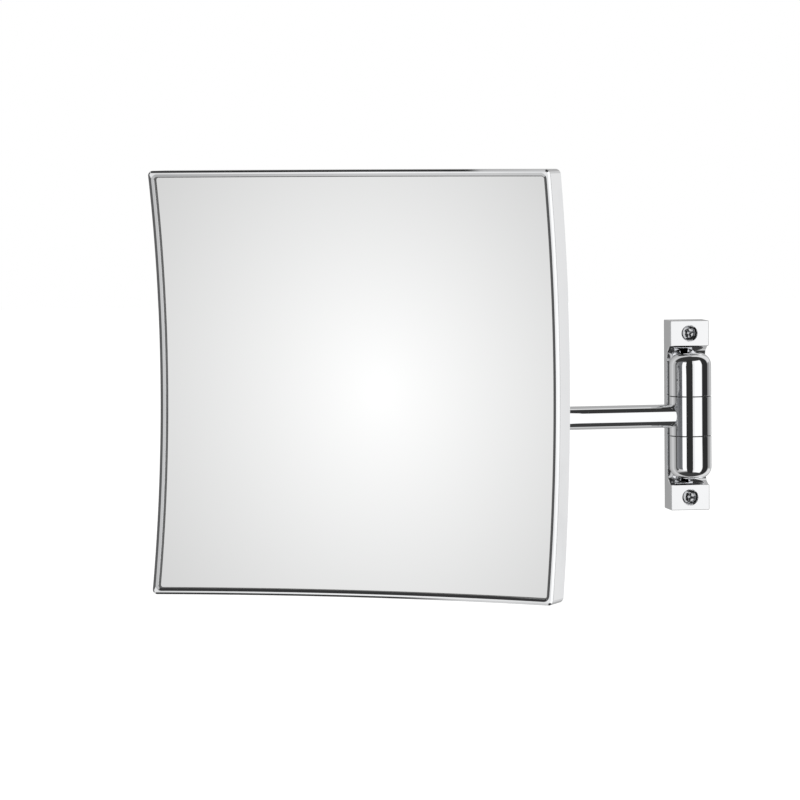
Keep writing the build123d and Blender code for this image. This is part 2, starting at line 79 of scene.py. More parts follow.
class Slot(str, Enum):
    """The record's material slots."""

    CHROME = "chrome_plate"
    FASTENER = "plated_fastener"
    STEEL = "plain_steel"
    BEARING = "bearing_plastic"
    SEAL = "seal_rubber"
    GLASS = "silvered_glass"
    FOAM = "soft_foam"
    BOARD = "board"
    BACK = "satin_back"


# Node trees


class Wire:
    """A socket of a node tree that takes part in sums."""

    def __init__(self, sheet: "Sheet", socket: bpy.types.NodeSocket) -> None:
        """Keep the socket and the sheet that it is drawn on."""
        self.sheet = sheet
        self.socket = socket

    def _sum(self, operation: str, left: Any, right: Any) -> "Wire":
        """Add one Math node for two values or links.

        Args:
            operation: the Math node's operation.
            left: first value or link.
            right: second value or link.

        Returns:
            The sum's output.
        """
        return self.sheet.node("ShaderNodeMath", {"operation": operation}, {0: left, 1: right})

    def __add__(self, other: Any) -> "Wire":
        """Return self + other."""
        return self._sum("ADD", self, other)

    def __radd__(self, other: Any) -> "Wire":
        """Return other + self."""
        return self._sum("ADD", other, self)

    def __sub__(self, other: Any) -> "Wire":
        """Return self - other."""
        return self._sum("SUBTRACT", self, other)

    def __rsub__(self, other: Any) -> "Wire":
        """Return other - self."""
        return self._sum("SUBTRACT", other, self)

    def __mul__(self, other: Any) -> "Wire":
        """Return self * other."""
        return self._sum("MULTIPLY", self, other)

    def __rmul__(self, other: Any) -> "Wire":
        """Return other * self."""
        return self._sum("MULTIPLY", other, self)

    def __truediv__(self, other: Any) -> "Wire":
        """Return self / other."""
        return self._sum("DIVIDE", self, other)

    def at_least(self, other: Any) -> "Wire":
        """Return the larger of self and other."""
        return self._sum("MAXIMUM", self, other)

    def rise(self, low: float, high: float) -> "Wire":
        """Return a smooth step from 0 at low to 1 at high; low may be above high."""
        settings = {"interpolation_type": "SMOOTHSTEP"}
        return self.sheet.node("ShaderNodeMapRange", settings, {0: self, 1: low, 2: high, 3: 0.0, 4: 1.0})


class Sheet:
    """A node tree with one method that adds nodes."""

    def __init__(self, tree: bpy.types.NodeTree) -> None:
        """Clear the tree and keep it."""
        self.tree = tree
        tree.nodes.clear()

    def node(
        self,
        kind: str,
        settings: dict[str, Any] | None = None,
        inputs: dict[int | str, Any] | None = None,
        output: int | str = 0,
    ) -> Wire:
        """Add a node, set it up, and fill or link its sockets.

        Args:
            kind: the node's type name.
            settings: its properties, and "stops" for a colour ramp.
            inputs: socket name or number to a value or a Wire.
            output: the socket that is returned.

        Returns:
            The chosen output.
        """
        made = self.tree.nodes.new(kind)
        for name, value in (settings or {}).items():
            if name == "stops":
                self._stops(made, value)
            else:
                setattr(made, name, value)
        for name, value in (inputs or {}).items():
            if isinstance(value, Wire):
                self.tree.links.new(value.socket, made.inputs[name])
            else:
                made.inputs[name].default_value = value
        return Wire(self, made.outputs[output]) if made.outputs else Wire(self, made.inputs[0])

    @staticmethod
    def _stops(ramp: bpy.types.Node, stops: Sequence[tuple[float, Sequence[float]]]) -> None:
        """Set a colour ramp's stops from places and colours."""
        elements = ramp.color_ramp.elements
        while len(elements) > 1:
            elements.remove(elements[-1])
        for number, (place, tint) in enumerate(stops):
            element = elements[0] if number == 0 else elements.new(place)
            element.position = place
            element.color = colour(*tint)

    def noise(self, where: Wire, scale: float, detail: float = 2.0, roughness: float = 0.5) -> Wire:
        """Return a noise value between 0 and 1 at a place."""
        inputs = {"Vector": where, "Scale": scale, "Detail": detail, "Roughness": roughness}
        return self.node("ShaderNodeTexNoise", {}, inputs)

    def place(self, scale: Sequence[float] = (1, 1, 1), turn: Sequence[float] = (0, 0, 0)) -> Wire:
        """Return Object coordinates, turned and then stretched."""
        where = self.node("ShaderNodeTexCoord", output="Object")
        return self.node("ShaderNodeMapping", {"vector_type": "POINT"}, {
            "Vector": where, "Rotation": turn, "Scale": scale})

    def tone(self, share: Wire, first: Sequence[float], second: Sequence[float]) -> Wire:
        """Return a colour that is the first one at a share of 0 and the second at 1."""
        inputs = {0: share, 6: colour(*first), 7: colour(*second)}
        return self.node("ShaderNodeMix", {"data_type": "RGBA"}, inputs, output=2)

    def bump(self, height: Wire, strength: float, distance: float) -> Wire:
        """Return a normal that a height bends; the distance is in metres."""
        return self.node("ShaderNodeBump", {}, {"Strength": strength, "Distance": distance, "Height": height})


def colour(red: float, green: float, blue: float) -> tuple[float, float, float, float]:
    """Return an opaque linear colour."""
    return (red, green, blue, 1.0)


# Finishes


@dataclass(frozen=True)
class Finish:
    """A surface finish with its own procedural material."""

    name: str
    slot: Slot

    def draw(self, sheet: Sheet) -> dict[str, Any]:
        """Return the shader's inputs; each finish draws its own.

        Args:
            sheet: the material's node sheet.

        Returns:
            Principled input names to values or links.
        """
        raise NotImplementedError

    def material(self) -> bpy.types.Material:
        """Return this finish's material, made on first use."""
        found = bpy.data.materials.get(self.name)
        if found:
            return found
        made = bpy.data.materials.new(self.name)
        made.use_nodes = True
        sheet = Sheet(made.node_tree)
        shader = sheet.node("ShaderNodeBsdfPrincipled", {}, self.draw(sheet))
        sheet.node("ShaderNodeOutputMaterial", {}, {"Surface": shader})
        return made


@dataclass(frozen=True)
class Plated(Finish):
    """Polished plating: bright metal with faint wiping marks and the smallest ripple."""

    tint: tuple[float, float, float] = (0.89, 0.895, 0.905)
    dim_tint: tuple[float, float, float] = (0.84, 0.846, 0.858)
    roughness: float = 0.02
    smear: float = 0.035
    smear_scale: float = 38.0
    smear_edge: tuple[float, float] = (0.45, 0.75)
    smear_dim: float = 0.6
    wiping: float = 0.012
    wiping_stretch: tuple[float, float, float] = (900.0, 900.0, 60.0)
    wiping_edge: tuple[float, float] = (0.55, 0.8)
    wiping_dim: float = 0.15
    ripple_scale: float = 160.0
    ripple_strength: float = 0.05
    ripple_depth: float = 0.00002

    def draw(self, sheet: Sheet) -> dict[str, Any]:
        """Return polished metal whose gloss varies with soft smears and fine wiping lines."""
        where = sheet.place()
        smear = sheet.noise(where, self.smear_scale, 3.0).rise(*self.smear_edge)
        wiping = sheet.noise(sheet.place(self.wiping_stretch), 1.0, 2.0).rise(*self.wiping_edge)
        ripple = sheet.noise(where, self.ripple_scale, 1.0)
        dimmed = smear * self.smear_dim + wiping * self.wiping_dim
        return {
            "Base Color": sheet.tone(dimmed, self.tint, self.dim_tint),
            "Metallic": 1.0,
            "Roughness": self.roughness + smear * self.smear + wiping * self.wiping,
            "Normal": sheet.bump(ripple, self.ripple_strength, self.ripple_depth),
        }


@dataclass(frozen=True)
class Silvered(Finish):
    """Silvered glass: a clean mirror with the slightest haze."""

    tint: tuple[float, float, float] = (0.965, 0.968, 0.966)
    hazy_tint: tuple[float, float, float] = (0.955, 0.958, 0.958)
    roughness: float = 0.004
    haze: float = 0.006
    haze_scale: float = 14.0
    haze_edge: tuple[float, float] = (0.5, 0.8)
    haze_share: float = 0.4

    def draw(self, sheet: Sheet) -> dict[str, Any]:
        """Return a near-perfect mirror with a trace of haze in patches."""
        haze = sheet.noise(sheet.place(), self.haze_scale, 3.0).rise(*self.haze_edge)
        return {
            "Base Color": sheet.tone(haze * self.haze_share, self.tint, self.hazy_tint),
            "Metallic": 1.0,
            "Roughness": self.roughness + haze * self.haze,
        }


@dataclass(frozen=True)
class Turned(Finish):
    """Turned or drawn steel with fine tool lines."""

    tint: tuple[float, float, float] = (0.56, 0.57, 0.58)
    dim_share: float = 0.72
    roughness: float = 0.24
    line_stretch: tuple[float, float, float] = (40.0, 40.0, 4200.0)
    line_dim: float = 0.3
    line_rough: float = 0.16
    line_strength: float = 0.2
    line_depth: float = 0.00003
    cloud_scale: float = 120.0
    cloud_dim: float = 0.5

    def draw(self, sheet: Sheet) -> dict[str, Any]:
        """Return steel with close lines across it and a slightly uneven tone."""
        lines = sheet.noise(sheet.place(self.line_stretch), 1.0, 2.0)
        cloud = sheet.noise(sheet.place(), self.cloud_scale, 2.0)
        dim_tint = tuple(self.dim_share * part for part in self.tint)
        return {
            "Base Color": sheet.tone(cloud * self.cloud_dim + lines * self.line_dim, self.tint, dim_tint),
            "Metallic": 1.0,
            "Roughness": self.roughness + lines * self.line_rough,
            "Normal": sheet.bump(lines, self.line_strength, self.line_depth),
        }


@dataclass(frozen=True)
class Brushed(Finish):
    """Satin aluminium sheet, brushed from side to side."""

    tint: tuple[float, float, float] = (0.46, 0.47, 0.49)
    dim_tint: tuple[float, float, float] = (0.34, 0.35, 0.37)
    turn: float = 0.0
    roughness: float = 0.22
    line_stretch: tuple[float, float, float] = (45.0, 900.0, 2600.0)
    line_detail: tuple[float, float] = (4.0, 0.65)
    line_dim: float = 0.6
    line_rough: float = 0.18
    line_strength: float = 0.25
    line_depth: float = 0.00005
    cloud_scale: float = 26.0
    cloud_dim: float = 0.25
    cloud_rough: float = 0.05

    def draw(self, sheet: Sheet) -> dict[str, Any]:
        """Return brushed metal whose lines run along the sheet."""
        grain = sheet.place(self.line_stretch, (0.0, 0.0, self.turn))
        lines = sheet.noise(grain, 1.0, *self.line_detail)
        cloud = sheet.noise(sheet.place(), self.cloud_scale, 2.0)
        dimmed = lines * self.line_dim + cloud * self.cloud_dim
        return {
            "Base Color": sheet.tone(dimmed, self.tint, self.dim_tint),
            "Metallic": 1.0,
            "Roughness": self.roughness + lines * self.line_rough + cloud * self.cloud_rough,
            "Normal": sheet.bump(lines, self.line_strength, self.line_depth),
        }


@dataclass(frozen=True)
class Moulded(Finish):
    """Plain moulded plastic, rubber or foam with a fine grain."""

    tint: tuple[float, float, float] = (0.03, 0.03, 0.03)
    roughness: float = 0.45
    grain: float = 900.0
    grain_pale: float = 0.2
    grain_rough: float = 0.15
    grain_strength: float = 0.5
    depth: float = 0.00004
    cloud_scale: float = 90.0
    cloud_pale: float = 0.6
    pale_gain: float = 1.5
    pale_lift: float = 0.004

    def draw(self, sheet: Sheet) -> dict[str, Any]:
        """Return a matt surface with a fine grain and a slightly uneven tone."""
        grain = sheet.noise(sheet.place(), self.grain, 3.0)
        cloud = sheet.noise(sheet.place(), self.cloud_scale, 2.0)
        pale_tint = tuple(self.pale_gain * part + self.pale_lift for part in self.tint)
        return {
            "Base Color": sheet.tone(cloud * self.cloud_pale + grain * self.grain_pale, self.tint, pale_tint),
            "Roughness": self.roughness + grain * self.grain_rough,
            "Normal": sheet.bump(grain, self.grain_strength, self.depth),
        }


CHROME = Plated("polished_chrome", Slot.CHROME)
FASTENER = Plated(
    "plated_screw",
    Slot.FASTENER,
    tint=(0.55, 0.555, 0.565),
    dim_tint=(0.42, 0.425, 0.44),
    roughness=0.015,
    smear=0.02,
)
MIRROR = Silvered("silvered_mirror", Slot.GLASS)
STEEL = Turned("turned_steel", Slot.STEEL)
BEARING = Moulded("black_bearing_plastic", Slot.BEARING, tint=(0.022, 0.022, 0.023), roughness=0.4)
SEAL = Moulded("dark_seal_rubber", Slot.SEAL, tint=(0.13, 0.13, 0.13), roughness=0.6)
FOAM = Moulded("grey_foam", Slot.FOAM, tint=(0.12, 0.12, 0.125), roughness=0.8, grain=1500.0, depth=0.0002)
BOARD = Moulded("dark_backing_board", Slot.BOARD, tint=(0.06, 0.056, 0.052), roughness=0.65, grain=500.0)
BACK = Brushed("satin_back_sheet", Slot.BACK, turn=-math.radians(HEAD_YAW))


# Places


def heading(degrees: float) -> Vector:
    """Return the level unit vector this many degrees from +X, turning towards +Y."""
    return Vector((math.cos(math.radians(degrees)), math.sin(math.radians(degrees)), 0.0))


def place_matrix(origin: Vector, x_axis: Vector, z_axis: Vector) -> Matrix:
    """Return the matrix of a place with its X and Z axes.

    Args:
        origin: the place, in metres.
        x_axis: its X direction.
        z_axis: its Z direction.

    Returns:
        A matrix that carries local metres to the shared frame.
    """
    x_axis = x_axis.normalized()
    z_axis = z_axis.normalized()
    y_axis = z_axis.cross(x_axis)
    matrix = Matrix((x_axis, y_axis, z_axis)).transposed().to_4x4()
    matrix.translation = origin
    return matrix


@dataclass(frozen=True)
class Layout:
    """Where the mirror's axes stand, in millimetres and degrees."""

    hinge_y: float = -17.1
    arm_length: float = 144.5
    arm_swing: float = 4.0
    head_yaw: float = HEAD_YAW
    tilt_reach: float = 18.5
    tilt_height: float = 21.1

    def hinge(self) -> Vector:
        """Return the middle of the wall hinge."""
        return Vector((0.0, self.hinge_y, 0.0)) * MM

    def along_arm(self) -> Vector:
        """Return the arm's direction, away from the wall hinge."""
        return heading(180.0 + self.arm_swing)

    def rod(self) -> Matrix:
        """Return the rod's place, with Z along the rod."""
        return place_matrix(self.hinge(), UP, self.along_arm())

    def elbow(self) -> Vector:
        """Return where the elbow's axis crosses the arm."""
        return self.hinge() + self.along_arm() * self.arm_length * MM

    def right(self) -> Vector:
        """Return the mirror's right."""
        return heading(self.head_yaw)

    def front(self) -> Vector:
        """Return the way that the mirror looks."""
        return heading(self.head_yaw - 90.0)

    def head(self) -> Matrix:
        """Return the tilt axis's place, with X to the mirror's right, Y to its back and Z up."""
        origin = self.elbow() + self.front() * self.tilt_reach * MM + UP * self.tilt_height * MM
        return place_matrix(origin, self.right(), UP)


LAYOUT = Layout()


# Meshes


class Shape:
    """Points and faces gathered for one mesh."""

    def __init__(self) -> None:
        """Start with nothing."""
        self.points: list[Vector] = []
        self.faces: list[list[int]] = []

    def rings(self, rings: Sequence[Sequence[Vector]], around: bool = True, through: bool = False) -> "Shape":
        """Join rows of equally many points with quads.

        Args:
            rings: the rows, in order.
            around: whether each row closes on itself.
            through: whether the last row joins the first.

        Returns:
            This shape.
        """
        start = len(self.points)
        count = len(rings[0])
        for row in rings:
            self.points.extend(row)
        for row in range(len(rings) if through else len(rings) - 1):
            after = (row + 1) % len(rings)
            for step in range(count if around else count - 1):
                beside = (step + 1) % count
                self.faces.append([
                    start + row * count + step,
                    start + row * count + beside,
                    start + after * count + beside,
                    start + after * count + step,
                ])
        return self

    def cap(self, ring: Sequence[Vector]) -> "Shape":
        """Close one ring with a flat face."""
        start = len(self.points)
        self.points.extend(ring)
        self.faces.append(list(range(start, start + len(ring))))
        return self

    def lathe(self, profile: Sequence[tuple[float, float]], place: Matrix, steps: int) -> "Shape":
        """Turn a profile of radius and height, in millimetres, about a place's Z axis.

        Args:
            profile: the points, from one end to the other.
            place: where the axis stands.
            steps: how many flats the turning has.

        Returns:
            This shape.
        """
        turned = []
        for radius, height in profile:
            row = []
            for step in range(steps):
                angle = math.tau * step / steps
                local = Vector((radius * math.cos(angle), radius * math.sin(angle), height)) * MM
                row.append(place @ local)
            turned.append(row)
        self.rings(turned)
        for row, (radius, _) in ((turned[0], profile[0]), (turned[-1], profile[-1])):
            if radius > 0.0:
                self.cap(row)
        return self

    def object(self, name: str, finish: Finish, sharp: float = 32.0) -> bpy.types.Object:
        """Make the mesh object, merged, turned outwards and smooth except at sharp edges.

        Args:
            name: the object's name.
            finish: its finish.
            sharp: the angle in degrees from which an edge stays sharp.

        Returns:
            The object, linked to the scene.
        """
        mesh = bpy.data.meshes.new(name)
        mesh.from_pydata([point[:] for point in self.points], [], self.faces)
        work = bmesh.new()
        work.from_mesh(mesh)
        bmesh.ops.remove_doubles(work, verts=work.verts, dist=SAME_POINT)
        bmesh.ops.dissolve_degenerate(work, edges=work.edges, dist=NO_LENGTH)
        bmesh.ops.recalc_face_normals(work, faces=work.faces)
        work.to_mesh(mesh)
        work.free()
        return add_object(name, mesh, finish, sharp)


def add_object(name: str, mesh: bpy.types.Mesh, finish: Finish, sharp: float) -> bpy.types.Object:
    """Link a mesh as an object, with its finish and smooth shading.

    Args:
        name: the object's name.
        mesh: its mesh.
        finish: its finish.
        sharp: the angle in degrees from which an edge stays sharp.

    Returns:
        The object.
    """
    mesh.materials.clear()
    mesh.materials.append(finish.material())
    made = bpy.data.objects.new(name, mesh)
    bpy.context.scene.collection.objects.link(made)
    return smooth(made, sharp)


def smooth(piece: bpy.types.Object, sharp: float) -> bpy.types.Object:
    """Shade a piece smooth except at edges from an angle, in degrees, and return it."""
    piece.data.shade_smooth()
    piece.data.set_sharp_from_angle(angle=math.radians(sharp))
    return piece


def settle(piece: bpy.types.Object) -> bpy.types.Object:
    """Turn a piece's modifiers into plain mesh and remove them.

    Args:
        piece: the object.

    Returns:
        The same object.
    """
    bpy.context.view_layer.update()
    graph = bpy.context.evaluated_depsgraph_get()
    mesh = bpy.data.meshes.new_from_object(
        piece.evaluated_get(graph), preserve_all_data_layers=True, depsgraph=graph)
    piece.modifiers.clear()
    piece.data = mesh
    return piece


def even_normals(piece: bpy.types.Object) -> bpy.types.Object:
    """Let flats keep their true shading next to small rounds.

    Args:
        piece: the object.

    Returns:
        The same object.
    """
    evened = piece.modifiers.new("even_normals", "WEIGHTED_NORMAL")
    evened.keep_sharp = True
    evened.weight = 90
    return settle(piece)


def cut(piece: bpy.types.Object, cutter: bpy.types.Object) -> bpy.types.Object:
    """Cut one solid out of another and remove the cutter.

    Args:
        piece: what is cut.
        cutter: the solid that is taken away.

    Returns:
        The cut piece.
    """
    boolean = piece.modifiers.new("cut", "BOOLEAN")
    boolean.object = cutter
    boolean.operation = "DIFFERENCE"
    boolean.solver = "EXACT"
    settle(piece)
    bpy.data.objects.remove(cutter)
    return piece


def skin(node: bpy.types.Object, finish: Finish, ease: float) -> bpy.types.Object:
    """Copy a solid as a clean smooth mesh with its sharp edges eased.

    Args:
        node: the solid's object.
        finish: the copy's finish.
        ease: width of the eased edges, in millimetres; 0 leaves them sharp.

    Returns:
        The copy, named after the node.
    """
    flat_within, eased_from = math.radians(0.4), math.radians(42.0)
    mesh = node.data.copy()
    work = bmesh.new()
    work.from_mesh(mesh)
    bmesh.ops.remove_doubles(work, verts=work.verts, dist=SAME_SOLID_POINT)
    bmesh.ops.dissolve_limit(
        work, angle_limit=flat_within, use_dissolve_boundaries=False, verts=work.verts, edges=work.edges)
    work.to_mesh(mesh)
    work.free()
    if mesh.has_custom_normals:
        mesh.normals_split_custom_set([(0.0, 0.0, 0.0)] * len(mesh.loops))
    piece = add_object(f"{node.name}_skin", mesh, finish, SHARP_EDGE)
    if ease:
        bevel = piece.modifiers.new("eased_edges", "BEVEL")
        bevel.width = ease * MM
        bevel.segments = 3
        bevel.limit_method = "ANGLE"
        bevel.angle_limit = eased_from
        bevel.use_clamp_overlap = True
        bevel.miter_outer = "MITER_ARC"
        smooth(settle(piece), SHARP_EDGE)
    return even_normals(piece)


def arc(
    centre: tuple[float, float], radius: float, start: float, end: float, steps: int
) -> list[tuple[float, float]]:
    """Return points on an arc of a profile.

    Args:
        centre: the arc's centre.
        radius: its radius.
        start: its first angle, in degrees.
        end: its last angle, in degrees.
        steps: how many parts it has.

    Returns:
        The points, both ends included.
    """
    points = []
    for step in range(steps + 1):
        angle = math.radians(start + (end - start) * step / steps)
        points.append((centre[0] + radius * math.cos(angle), centre[1] + radius * math.sin(angle)))
    return points


# Screws


@dataclass(frozen=True)
class Screw:
    """A cross-recess screw, whose head looks along Z; sizes in millimetres."""

    name: str
    head: float
    head_height: float
    shanks: tuple[tuple[float, float], ...]
    sunk: bool = False
    thread_pitch: float = 0.0
    tip: float = 0.0
    tip_share: float = 0.125
    edge: float = 0.1
    crown_share: float = 0.55
    crown_steps: int = 14
    turned_steps: int = 48
    recess_span: float = 0.64
    recess_width: float = 0.17
    recess_waist: float = 1.35
    recess_depth: float = 0.8
    recess_foot: float = 0.25
    recess_mouth: float = 1.25
    recess_over: float = 0.5
    thread_inset: float = 0.02
    thread_depth: float = 0.55
    thread_steps: int = 28
    thread_rows: int = 10
    ridge_share: float = 0.28

    def _profile(self) -> list[tuple[float, float]]:
        """Return the turned profile from the tip to the crown."""
        radius = self.head / 2
        depth = sum(length for _, length in self.shanks)
        points = [(0.0, -depth - self.tip)]
        if self.tip:
            points.append((self.shanks[-1][0] * self.tip_share, -depth - self.tip))
        for diameter, length in reversed(self.shanks):
            points.append((diameter / 2, -depth))
            depth -= length
            points.append((diameter / 2, -depth - (self.head_height if self.sunk and not depth else 0.0)))
        edge = self.edge
        if self.sunk:
            points += [(radius - 0.6 * edge, -edge), (radius - 0.3 * edge, -0.3 * edge)]
            return points + [(radius - edge, 0.0), (0.0, 0.0)]
        crown = self.crown_share * self.head_height
        round_radius = (radius**2 + crown**2) / (2 * crown)
        edge_angle = math.degrees(math.asin((round_radius - crown) / round_radius))
        points += [(radius - edge, 0.0), (radius, edge)]
        centre = (0.0, self.head_height - round_radius)
        return points + arc(centre, round_radius, edge_angle, 90.0, self.crown_steps)

    def _cutter(self, finish: Finish) -> bpy.types.Object:
        """Return the solid of the cross recess, narrower at its foot."""
        top = 0.0 if self.sunk else self.head_height
        foot = top - self.recess_depth * self.head_height
        half_span = self.recess_span * self.head / 2
        half_width = self.recess_width * self.head / 2
        waist = half_width * self.recess_waist
        arm = ((half_width, waist), (half_width, half_span), (-half_width, half_span), (-half_width, waist))
        outline = []
        for quarter in range(4):
            turn = Matrix.Rotation(math.tau * quarter / 4, 3, "Z")
            outline += [turn @ Vector((x, y, 0.0)) for x, y in arm]
        rows = [
            [(point * share + UP * height) * MM for point in outline]
            for height, share in ((foot, self.recess_foot), (top + self.recess_over, self.recess_mouth))
        ]
        return Shape().rings(rows).cap(rows[0]).cap(rows[1]).object(f"{self.name}_recess", finish)

    def _thread(self) -> Shape:
        """Return a helical ridge round the last shank."""
        diameter, length = self.shanks[-1]
        start = -sum(size for _, size in self.shanks)
        root = diameter / 2 - self.thread_inset - self.thread_depth
        rows = []
        for row in range(int(length / self.thread_pitch * self.thread_rows) + 1):
            height = start + row * self.thread_pitch / self.thread_rows
            ring = []
            for step in range(self.thread_steps):
                phase = (row / self.thread_rows - step / self.thread_steps) % 1.0
                radius = root + self.thread_depth * max(0.0, 1.0 - abs(phase - 0.5) / self.ridge_share)
                angle = math.tau * step / self.thread_steps
                ring.append(Vector((radius * math.cos(angle), radius * math.sin(angle), height)) * MM)
            rows.append(ring)
        return Shape().rings(rows).cap(rows[0]).cap(rows[-1])

    def template(self, finish: Finish) -> bpy.types.Object:
        """Return one finished screw at the origin.

        Args:
            finish: the screw's finish.

        Returns:
            The screw's object.
        """
        profile = self._profile()
        if self.thread_pitch:
            root = self.shanks[-1][0] / 2 - self.thread_inset - self.thread_depth
            thread_top = -sum(length for _, length in self.shanks[:-1])
            profile = [
                (min(radius, root) if height < thread_top - NO_LENGTH else radius, height)
                for radius, height in profile
            ]
        turned = Shape().lathe(profile, Matrix.Identity(4), self.turned_steps)
        made = cut(turned.object(f"{self.name}_body", finish), self._cutter(finish))
        if self.thread_pitch:
            made = join(made, self._thread().object(f"{self.name}_thread", finish, SHARP_EDGE))
        return smooth(made, SHARP_EDGE)


def join(first: bpy.types.Object, second: bpy.types.Object) -> bpy.types.Object:
    """Put a second object's mesh into the first one's and remove the second.

    Args:
        first: the object that is kept.
        second: the object that is taken in.

    Returns:
        The first object.
    """
    work = bmesh.new()
    work.from_mesh(first.data)
    work.from_mesh(second.data)
    work.to_mesh(first.data)
    work.free()
    bpy.data.objects.remove(second)
    return first


class ScrewSet:
    """Geometry Nodes that set one screw at every marked place."""

    def __init__(self) -> None:
        """Build the tree with its named inputs."""
        tree = bpy.data.node_groups.new("screw_set", "GeometryNodeTree")
        face = tree.interface
        face.new_socket(name="Places", in_out="INPUT", socket_type="NodeSocketGeometry")
        screw_socket = face.new_socket(name="Screw", in_out="INPUT", socket_type="NodeSocketObject")
        finish_socket = face.new_socket(name="Finish", in_out="INPUT", socket_type="NodeSocketMaterial")
        self.screw_input, self.finish_input = screw_socket.identifier, finish_socket.identifier
        face.new_socket(name="Screws", in_out="OUTPUT", socket_type="NodeSocketGeometry")
        sheet = Sheet(tree)
        entry = tree.nodes.new("NodeGroupInput")
        places, screw, finish = (Wire(sheet, entry.outputs[number]) for number in range(3))
        turn = sheet.node(
            "GeometryNodeInputNamedAttribute", {"data_type": "FLOAT_VECTOR"}, {"Name": "facing"})
        shape = sheet.node(
            "GeometryNodeObjectInfo", {"transform_space": "ORIGINAL"}, {"Object": screw}, output="Geometry")
        spin = sheet.node("FunctionNodeEulerToRotation", {}, {0: turn})
        placed = sheet.node(
            "GeometryNodeInstanceOnPoints", {}, {"Points": places, "Instance": shape, "Rotation": spin})
        solid = sheet.node("GeometryNodeRealizeInstances", {}, {0: placed})
        dressed = sheet.node("GeometryNodeSetMaterial", {}, {"Geometry": solid, "Material": finish})
        sheet.node("NodeGroupOutput", {}, {0: dressed})
        self.tree = tree

    def set_out(
        self, name: str, screw: Screw, places: Sequence[Matrix], finish: Finish = FASTENER
    ) -> bpy.types.Object:
        """Set a screw at each place.

        Args:
            name: the finished piece's name.
            screw: the screw.
            places: where the heads sit, with Z out of the head.
            finish: the screws' finish.

        Returns:
            One plain mesh object with all the screws.
        """
        template = screw.template(finish)
        marks = bpy.data.meshes.new(name)
        marks.from_pydata([place.translation[:] for place in places], [], [])
        facing = marks.attributes.new("facing", "FLOAT_VECTOR", "POINT")
        for number, place in enumerate(places):
            facing.data[number].vector = place.to_euler()
        piece = bpy.data.objects.new(name, marks)
        bpy.context.scene.collection.objects.link(piece)
        nodes = piece.modifiers.new("screw_set", "NODES")
        nodes.node_group = self.tree
        nodes[self.screw_input] = template
        nodes[self.finish_input] = finish.material()
        settle(piece)
        bpy.data.objects.remove(template)
        return piece


# Sub-assemblies


@dataclass
class Assembly:
    """What every sub-assembly shares: the frame's nodes and the screw tree."""

    nodes: dict[str, bpy.types.Object]
    screws: ScrewSet

    def fit(self, piece: bpy.types.Object, finish: Finish, body: Body, *nodes: str) -> None:
        """Let a piece ride on a body in place of some solids.

        Args:
            piece: the finished piece.
            finish: its finish; not used.
            body: the body that it moves with.
            nodes: the solids that it stands for.
        """
        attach(piece, body.value)
        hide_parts(*nodes)
        LOG.info("%s: %d faces on %s", piece.name, len(piece.data.polygons), body.value)

    def wrap(self, finish: Finish, body: Body, ease: float, *nodes: str) -> None:
        """Replace solids by their clean smooth skins.

        Args:
            finish: the skins' finish.
            body: the body that they move with.
            ease: width of their eased edges, in millimetres.
            nodes: the solids, each of which gets its own skin.
        """
        for name in nodes:
            self.fit(skin(self.nodes[name], finish, ease), finish, body, name)

    def dress(self, finish: Finish, *nodes: str) -> None:
        """Give solids that stay as they are a finish."""
        for name in nodes:
            mesh = self.nodes[name].data
            mesh.materials.clear()
            mesh.materials.append(finish.material())


@dataclass
class WallMount(Assembly):
    """The bracket, its screws and the barrel's fixed knuckles; sizes in millimetres."""

    bracket_ease: float = 0.12
    knuckle_ease: float = 0.18
    screw_level: float = 39.775
    screw_turns: tuple[float, float] = (22.0, -8.0)
    head_seat: float = -12.4
    neck_level: float = 17.175
    wall_screw: Screw = Screw(
        "wall_screw", head=7.3, head_height=2.6, shanks=((4.0, 12.4), (4.5, 27.0)), thread_pitch=2.0, tip=5.0)
    knuckle_screw: Screw = Screw(
        "knuckle_screw", head=7.6, head_height=1.8, shanks=((4.0, 11.6),), sunk=True)

    def build(self) -> None:
        """Build and dress the fixed part."""
        self.wrap(CHROME, Body.WALL, self.bracket_ease, "wall_bracket")
        self.wrap(CHROME, Body.WALL, self.knuckle_ease, "upper_knuckle", "lower_knuckle")
        across, out = Vector((1.0, 0.0, 0.0)), Vector((0.0, -1.0, 0.0))
        heads = []
        for level, turn in zip((self.screw_level, -self.screw_level), self.screw_turns):
            seat = place_matrix(Vector((0.0, self.head_seat, level)) * MM, across, out)
            heads.append(seat @ Matrix.Rotation(math.radians(turn), 4, "Z"))
        wall = self.screws.set_out("wall_screw_pair", self.wall_screw, heads)
        self.fit(wall, FASTENER, Body.WALL, "wall_screws")
        sunk = [
            place_matrix(Vector((0.0, 0.0, level)) * MM, across, -out)
            for level in (self.neck_level, -self.neck_level)
        ]
        held = self.screws.set_out("knuckle_screw_pair", self.knuckle_screw, sunk, STEEL)
        self.fit(held, STEEL, Body.WALL, "knuckle_screws")
        self.dress(STEEL, "hinge_pin", "hinge_springs")


